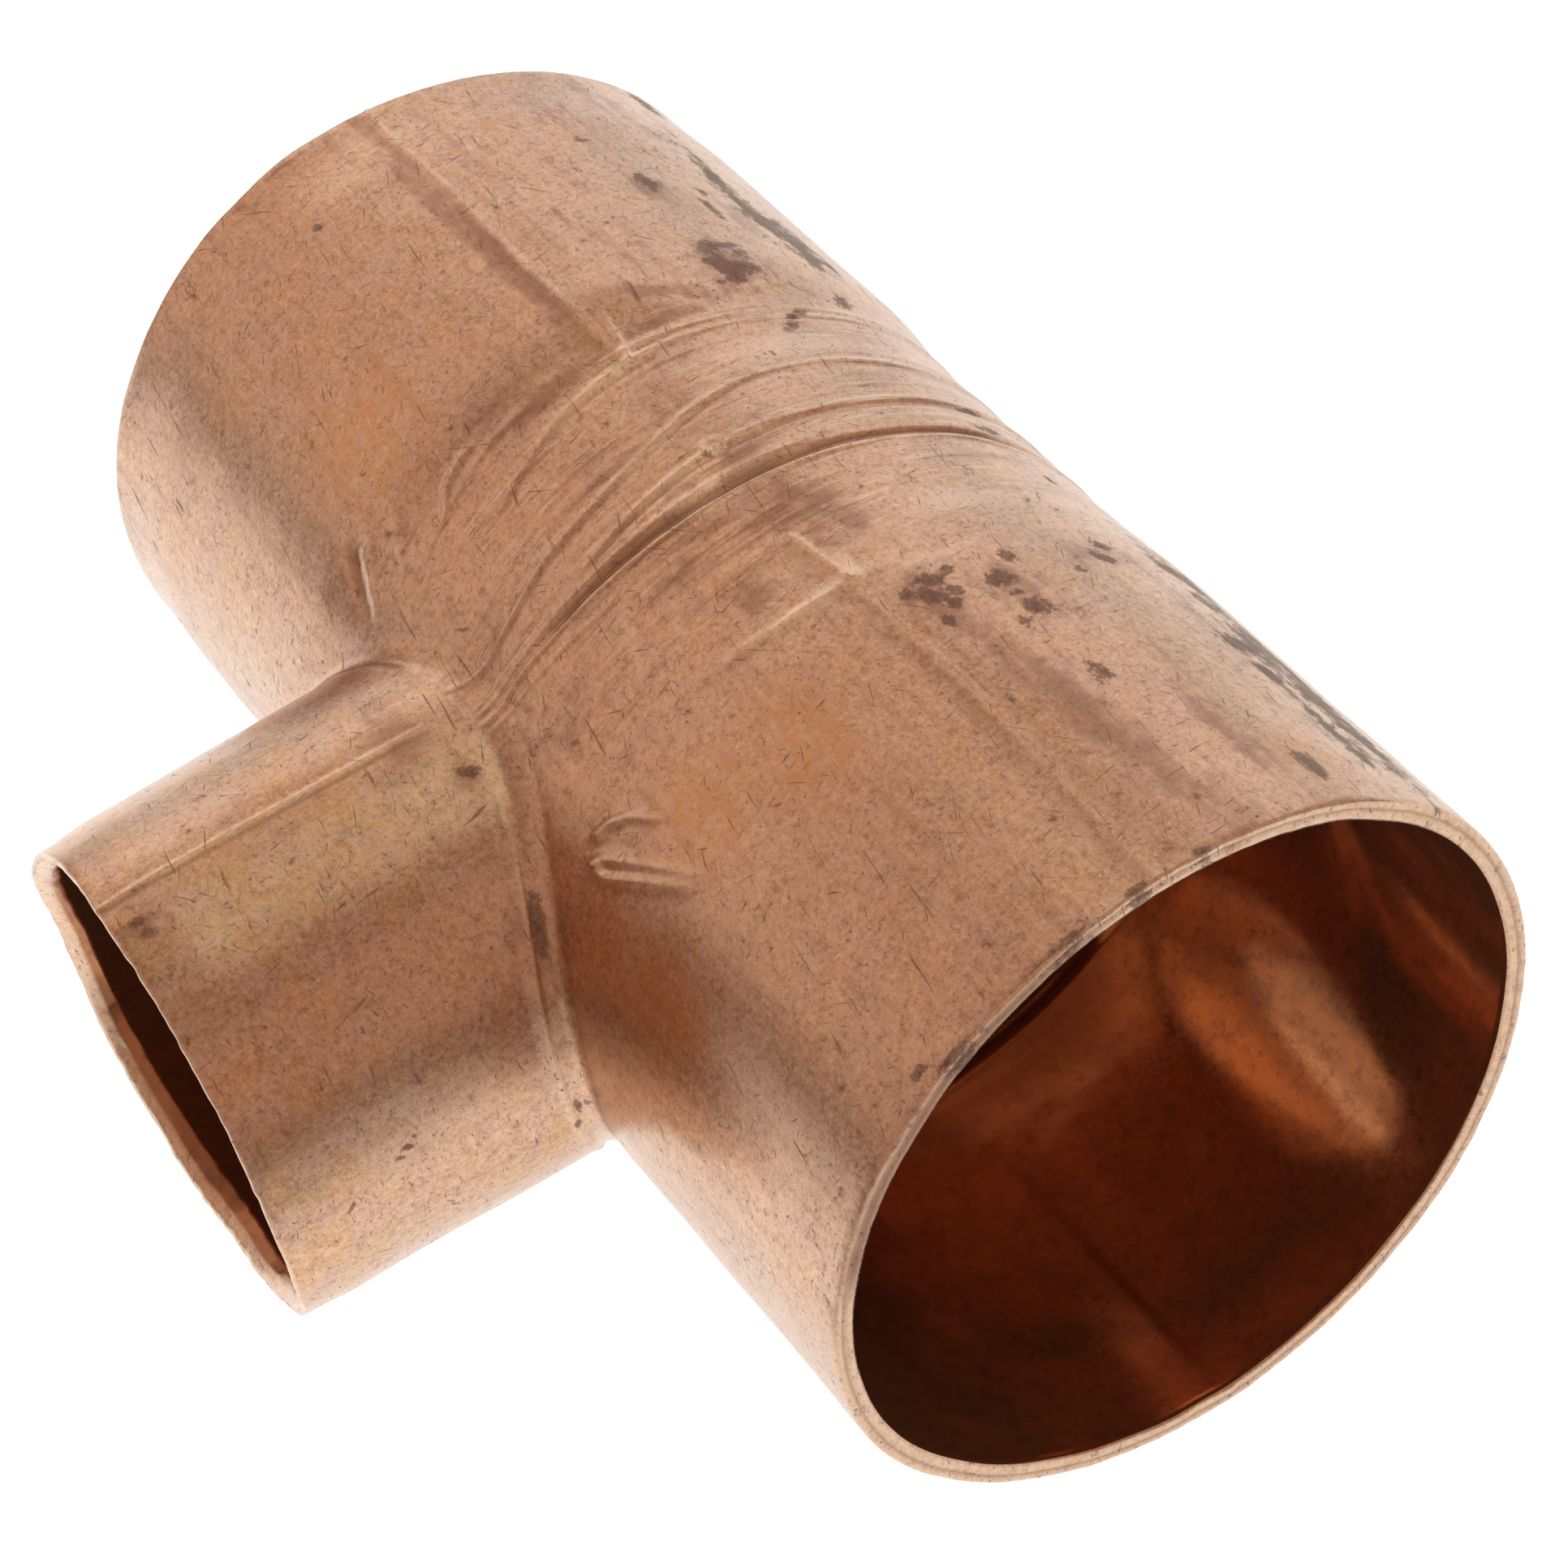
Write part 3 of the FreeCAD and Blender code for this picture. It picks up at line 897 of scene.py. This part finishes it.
# Tones of the bare copper
GOLDEN = colour(0.595, 0.352, 0.217)
BRANCH_GOLDEN = colour(0.585, 0.337, 0.18)
PINKISH = colour(0.57, 0.348, 0.252)
FADED = colour(0.6, 0.385, 0.27)
PALE_SPECKLE = colour(0.77, 0.55, 0.4)
BROWN_SPECKLE = colour(0.32, 0.16, 0.1)
DIRTY = colour(0.3, 0.155, 0.095)
RUBBED = colour(0.74, 0.51, 0.36)
STREAKED = colour(0.36, 0.19, 0.12)
BRIGHT_LINE = colour(0.74, 0.52, 0.37)
BRIGHT_GRAIN = colour(0.8, 0.57, 0.42)
# Of the redder lining inside
LINING = colour(0.58, 0.265, 0.12)
DULL_LINING = colour(0.5, 0.23, 0.12)
DIRTY_LINING = colour(0.28, 0.13, 0.08)
DARKENED_LINING = colour(0.24, 0.09, 0.045)
# Of the stains, the warm patches, and the painted shade and painted highlight on the relief
WARM = colour(0.62, 0.31, 0.14)
BROWN = colour(0.28, 0.135, 0.085)
GROOVE_SHADE = colour(0.22, 0.1, 0.055)
CREST_HIGHLIGHT = colour(0.79, 0.57, 0.4)
PALE = colour(0.78, 0.56, 0.42)
GREY = colour(0.19, 0.155, 0.115)
BLACK = colour(0.14, 0.062, 0.037)

# Patterns over the surface: scale per mm, detail, roughness and distortion
PATTERNS = {
    "broad": (0.075, 3, 0.55),
    "blotch": (0.3, 9, 0.72, 0.4),
    "dirt": (0.9, 8, 0.8),
    "mottle": (2.2, 6, 0.8),
    "grain": (7.0, 2, 0.7),
    "speck": (0.9, 2, 0.5),
    "pit": (2.6, 1, 0.5),
}
# Drawn-out patterns: along the sockets, and round the waist
LINED_PATTERNS = {
    "streak": ((0.8, 6, 0.7), (0.9, 6, 0.7)),
    "hairline": ((3.2, 4, 0.7), (2.6, 4, 0.7)),
}
ALONG_RUN, ALONG_BRANCH, ROUND_RUN = (0.08, 1, 1), (1, 0.08, 1), (1, 0.06, 0.06)

# Scratches: turn in degrees, stretch along themselves and scale per mm
SCRATCHES = ((25, 0.07, 4.2), (-38, 0.06, 4.6), (78, 0.09, 3.8), (8, 0.05, 3.4))
SCRATCH_DEPTH = 0.55
MICRO_RELIEF = 0.00006  # metres


def patterns(g, place, on_branch, on_waist):
    """The random patterns that tones, stains and relief share, by name."""
    drawn = {name: g.noise(place, *settings) for name, settings in PATTERNS.items()}
    along = g.mix(on_branch, g.scaled(place, ALONG_RUN), g.scaled(place, ALONG_BRANCH))
    around = g.scaled(place, ROUND_RUN)
    for name, (on_sockets, round_waist) in LINED_PATTERNS.items():
        drawn[name] = g.blend(on_waist, g.noise(along, *on_sockets), g.noise(around, *round_waist))
    return SimpleNamespace(**drawn)


def scratches(g, place):
    """Sparse short hairlines in four directions, dark where dirt has filled them."""
    total = None
    for turn, length, sharp in SCRATCHES:
        turned = g.add("VectorRotate", {"Vector": place, "Angle": math.radians(turn)},
                       rotation_type="Z_AXIS").outputs[0]
        hair = g.noise(g.scaled(turned, (length, 1, 0.2)), sharp, 2, 0.5)
        mark = g.ramp(hair, 0.68, 0.75, 0.0, SCRATCH_DEPTH)
        total = mark if total is None else g.math("MAXIMUM", total, mark)
    return total


def bare_tone(g, pattern, on_branch, on_waist):
    """Unstained copper outside: gold and pink, speckled, dirty and finely lined."""
    golden = g.mix(on_branch, GOLDEN, BRANCH_GOLDEN)
    tone = g.mix(g.ramp(pattern.blotch, 0.43, 0.6), golden, PINKISH)
    tone = g.mix(g.ramp(pattern.broad, 0.42, 0.6, 0.0, 0.5), tone, FADED)
    tone = g.mix(g.ramp(pattern.mottle, 0.5, 0.66, 0.0, 0.65), tone, PALE_SPECKLE)
    tone = g.mix(g.ramp(pattern.mottle, 0.5, 0.33, 0.0, 0.8), tone, BROWN_SPECKLE)
    tone = g.mix(g.ramp(pattern.dirt, 0.52, 0.64, 0.0, 0.55), tone, DIRTY)
    tone = g.mix(g.ramp(pattern.dirt, 0.47, 0.36, 0.0, 0.35), tone, RUBBED)
    streaked, lined = g.blend(on_waist, 0.3, 0.7), g.blend(on_waist, 0.35, 0.7)
    tone = g.mix(g.ramp(pattern.streak, 0.52, 0.64, 0.0, streaked), tone, STREAKED)
    tone = g.mix(g.ramp(pattern.hairline, 0.54, 0.68, 0.0, lined), tone, BRIGHT_LINE)
    tone = g.mix(g.ramp(pattern.grain, 0.55, 0.75, 0.0, 0.4), tone, BRIGHT_GRAIN)
    return g.mix(g.ramp(pattern.grain, 0.42, 0.26, 0.0, 0.5), tone, DIRTY)


def lining_tone(g, pattern):
    """The redder lining inside, darkened in places."""
    lining = g.mix(g.ramp(pattern.blotch, 0.42, 0.6), LINING, DULL_LINING)
    lining = g.mix(g.ramp(pattern.dirt, 0.5, 0.62, 0.0, 0.6), lining, DIRTY_LINING)
    return g.mix(g.times(g.field("inner_darkening"), 0.7), lining, DARKENED_LINING)


def blackness(g, pattern, ragged, inside, place):
    """How black each spot is, from the dark marks, specks, pits and scratches."""
    dark = g.plus(g.field("dark"), g.times(ragged, 1.6))
    dark = g.ramp(dark, 0.4, 0.6)
    dark = g.times(dark, g.ramp(pattern.mottle, 0.35, 0.62, 0.95, 0.55))
    where_broad = g.ramp(pattern.broad, 0.45, 0.55)
    specks = g.times(g.ramp(pattern.speck, 0.71, 0.76), where_broad)
    dark = g.math("MAXIMUM", dark, g.times(specks, 0.5))
    where_blotched = g.ramp(pattern.blotch, 0.42, 0.56, 0.1, 0.5)
    pits = g.times(g.ramp(pattern.pit, 0.66, 0.73), where_blotched)
    dark = g.math("MAXIMUM", dark, pits)
    dark = g.math("MAXIMUM", dark, scratches(g, place))
    return g.times(dark, g.ramp(inside, 0.0, 1.0, 1.0, 0.4))


def stained(g, tone, pattern, inside, place):
    """The tone under its stains and warm patches, with painted shade and highlight on the relief,
    and how thick a crust lies there.
    """
    ragged = g.math("SUBTRACT", g.plus(pattern.mottle, pattern.dirt), 1.0)
    blotched = g.times(g.math("SUBTRACT", pattern.blotch, 0.5), 2.0)
    streaky = g.times(g.math("SUBTRACT", pattern.streak, 0.5), 1.5)
    torn = g.plus(g.plus(ragged, blotched), streaky)
    warm = g.ramp(g.plus(g.field("warm"), torn), 0.3, 0.9)
    warm = g.times(warm, g.ramp(pattern.dirt, 0.4, 0.58, 0.1, 0.7))
    tone = g.mix(warm, tone, WARM)
    brown = g.ramp(g.plus(g.field("brown"), torn), 0.25, 0.95)
    tone = g.mix(g.times(brown, 0.6), tone, BROWN)
    # Painted shade in the hollows, and painted highlight on the crests and rims
    groove_shade = g.times(g.field("groove_shade"), g.ramp(pattern.mottle, 0.25, 0.55, 0.5, 1.0))
    tone = g.mix(g.times(groove_shade, 0.75), tone, GROOVE_SHADE)
    crest_highlight = g.times(g.field("crest_highlight"), g.ramp(pattern.mottle, 0.3, 0.6, 0.35, 1.0))
    tone = g.mix(g.times(crest_highlight, 0.5), tone, CREST_HIGHLIGHT)
    pale = g.ramp(g.plus(g.field("pale"), ragged), 0.3, 1.0)
    tone = g.mix(g.times(pale, 0.5), tone, PALE)
    grey = g.ramp(g.plus(g.field("grey"), torn), 0.4, 0.85)
    tone = g.mix(g.times(grey, 0.8), tone, GREY)
    dark = blackness(g, pattern, ragged, inside, place)
    crust = g.times(g.math("MAXIMUM", dark, grey), g.ramp(inside, 0.0, 1.0, 1.0, 0.0))
    return g.mix(dark, tone, BLACK), crust


def copper():
    """Aged copper: bare and stained outside, with a smoother and redder lining inside."""
    g = Graph("aged_copper")
    place = g.scaled(g.add("TexCoord").outputs["Object"], [1 / MM] * 3)
    on_branch, on_waist, inside = g.field("on_branch"), g.field("waist"), g.field("inside")
    pattern = patterns(g, place, on_branch, on_waist)
    bare = bare_tone(g, pattern, on_branch, on_waist)
    tone = g.mix(inside, bare, lining_tone(g, pattern))
    tone, crust = stained(g, tone, pattern, inside, place)

    rough = g.ramp(pattern.mottle, 0.3, 0.7, 0.19, 0.28)
    rough = g.plus(rough, g.ramp(pattern.blotch, 0.42, 0.6, 0.0, 0.04))
    rough = g.plus(rough, g.times(crust, 0.3))
    rough = g.math("SUBTRACT", rough, g.times(inside, 0.14))
    fine, coarse = g.times(pattern.grain, 0.35), g.times(pattern.mottle, 0.5)
    height = g.plus(g.plus(fine, coarse), g.times(pattern.hairline, 0.5))
    relief = g.ramp(inside, 0.0, 1.0, 0.22, 0.05)
    bump = g.add("Bump", {"Strength": relief, "Distance": MICRO_RELIEF, "Height": height})
    bare_metal = g.ramp(inside, 0.0, 1.0, 1.0, 0.88)
    metal = g.math("SUBTRACT", bare_metal, g.times(crust, 0.7))
    return g.finished({"Base Color": tone, "Metallic": metal, "Roughness": rough,
                       "Normal": bump.outputs[0]})


shell = build_shell()
shell.data.materials.append(copper())
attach(shell, "root")
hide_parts("tee_body")

# ------------------------ floor, light and camera

FLOOR_SIZE = 6.0  # this and what follows on the floor is in metres
FLOOR_WAY = (0.77, -0.64, 0.0)  # square to the table's near edge
FLOOR_EDGE = (0.048, 0.115)  # the table's light fades out over this stretch of that way
FLOOR_REACH = (0.45, 0.9)  # and over this stretch of distance, all round
FLOOR_SIDES = ((-0.12, -0.05), (0.05, -0.06))  # over each of these stretches of y, it brightens
FLOOR_GLOW = (0.86, 1.12)  # before and after it has
EDGE_GLOW, FAR_GLOW = 0.34, 0.6  # shares of it that are left past the edge, and far away
FLOOR_PAINT = colour(0.55, 0.58, 0.6)
FLOOR_LIGHT = colour(0.91, 0.98, 1.0)


def white_floor():
    """A pale light table: brightest beside the branch, dimmer past its edges."""
    g = Graph("white_floor")
    place = g.add("NewGeometry").outputs["Position"]
    split = g.add("SeparateXYZ", {0: place})
    beside = [g.ramp(split.outputs["Y"], *side, *FLOOR_GLOW) for side in FLOOR_SIDES]
    towards_edge = g.add("VectorMath", {0: place, 1: FLOOR_WAY}, operation="DOT_PRODUCT")
    near = g.ramp(towards_edge.outputs["Value"], *FLOOR_EDGE, 1.0, EDGE_GLOW)
    distance = g.add("VectorMath", {0: place}, operation="LENGTH").outputs["Value"]
    away = g.ramp(distance, *FLOOR_REACH, 1.0, FAR_GLOW)
    glow = g.times(g.math("MINIMUM", *beside), g.times(near, away))
    return g.finished({"Base Color": FLOOR_PAINT, "Roughness": 0.9,
                       "Emission Color": FLOOR_LIGHT, "Emission Strength": glow})


bpy.ops.mesh.primitive_plane_add(size=FLOOR_SIZE, location=(CROSSING.x, CROSSING.y, CAD_LOW.z))
floor = bpy.context.object
floor.name = "floor"
floor.data.materials.append(white_floor())

WALL_COLOUR = (1.0, 0.7, 0.56)
WALL_LIGHT = [(0.02, 0.3), (0.16, 1.0), (0.78, 1.05), (0.89, 0.8)]  # by height: 1 is straight up
WALL_STRENGTH = 0.58


def studio_world():
    """Warm walls all round, dim where they meet the table and again under the ceiling."""
    world = bpy.data.worlds.new("studio")
    world.use_nodes = True
    tree = world.node_tree
    way = tree.nodes.new("ShaderNodeTexCoord").outputs["Generated"]
    split = tree.nodes.new("ShaderNodeSeparateXYZ")
    tree.links.new(way, split.inputs[0])
    walls = tree.nodes.new("ShaderNodeValToRGB")
    tree.links.new(split.outputs["Z"], walls.inputs["Fac"])
    stops = walls.color_ramp.elements
    stops[0].position, stops[1].position = WALL_LIGHT[0][0], WALL_LIGHT[-1][0]
    for height, _ in WALL_LIGHT[1:-1]:
        stops.new(height)
    for stop, (_, share) in zip(stops, WALL_LIGHT):
        stop.color = colour(*(share * part for part in WALL_COLOUR))
    background = tree.nodes["Background"]
    tree.links.new(walls.outputs["Color"], background.inputs["Color"])
    background.inputs["Strength"].default_value = WALL_STRENGTH
    return world


bpy.context.scene.world = studio_world()

# Soft lights as name, way from the object, way of the long side, distance, length and width in
# metres, radiance and tint
SOFTBOXES = [
    ("overhead", (-0.15, 0.27, 0.95), (1, 0, 0), 1.0, 0.76, 0.6, 0.47, (0.88, 1.03, 0.84)),
    ("front_left", (-0.79, -0.28, 0.54), (0, -0.89, -0.45), 1.2, 1.7, 0.8, 0.26, (1.0, 1.0, 0.9)),
    ("back_wall", (-0.8, 0.5, 0.32), (0.5, 0.85, 0), 1.2, 1.5, 0.85, 0.72, (0.7, 0.88, 0.96)),
]


def softbox(name, way, along, distance, length, width, radiance, tint):
    """A soft rectangular light that faces the object from one way, its long side along another."""
    back = Vector(way).normalized()
    side = (Vector(along) - back * back.dot(Vector(along))).normalized()
    data = bpy.data.lights.new(name, "AREA")
    data.shape = "RECTANGLE"
    data.size, data.size_y = length, width
    data.energy = radiance * math.pi * length * width
    data.color = tint
    light = bpy.data.objects.new(name, data)
    turn = Matrix((side, back.cross(side), back)).transposed().to_4x4()
    light.matrix_world = Matrix.Translation(CROSSING + back * distance) @ turn
    bpy.context.scene.collection.objects.link(light)


for settings in SOFTBOXES:
    softbox(*settings)

CAMERA_PLACE = (206.66, -86.47, 231.96)
CAMERA_TURN = (42.321, 9.680, 56.893)
LENS = 99.46
SENSOR = 36.0
FARTHEST = 20.0  # metres

camera_data = bpy.data.cameras.new("camera")
camera_data.sensor_width = SENSOR
camera_data.lens = LENS
camera_data.clip_end = FARTHEST
camera = bpy.data.objects.new("camera", camera_data)
camera.location = CROSSING + Vector(CAMERA_PLACE) * MM
camera.rotation_euler = [math.radians(angle) for angle in CAMERA_TURN]
bpy.context.scene.collection.objects.link(camera)
bpy.context.scene.camera = camera
bpy.context.scene.view_settings.view_transform = "Standard"
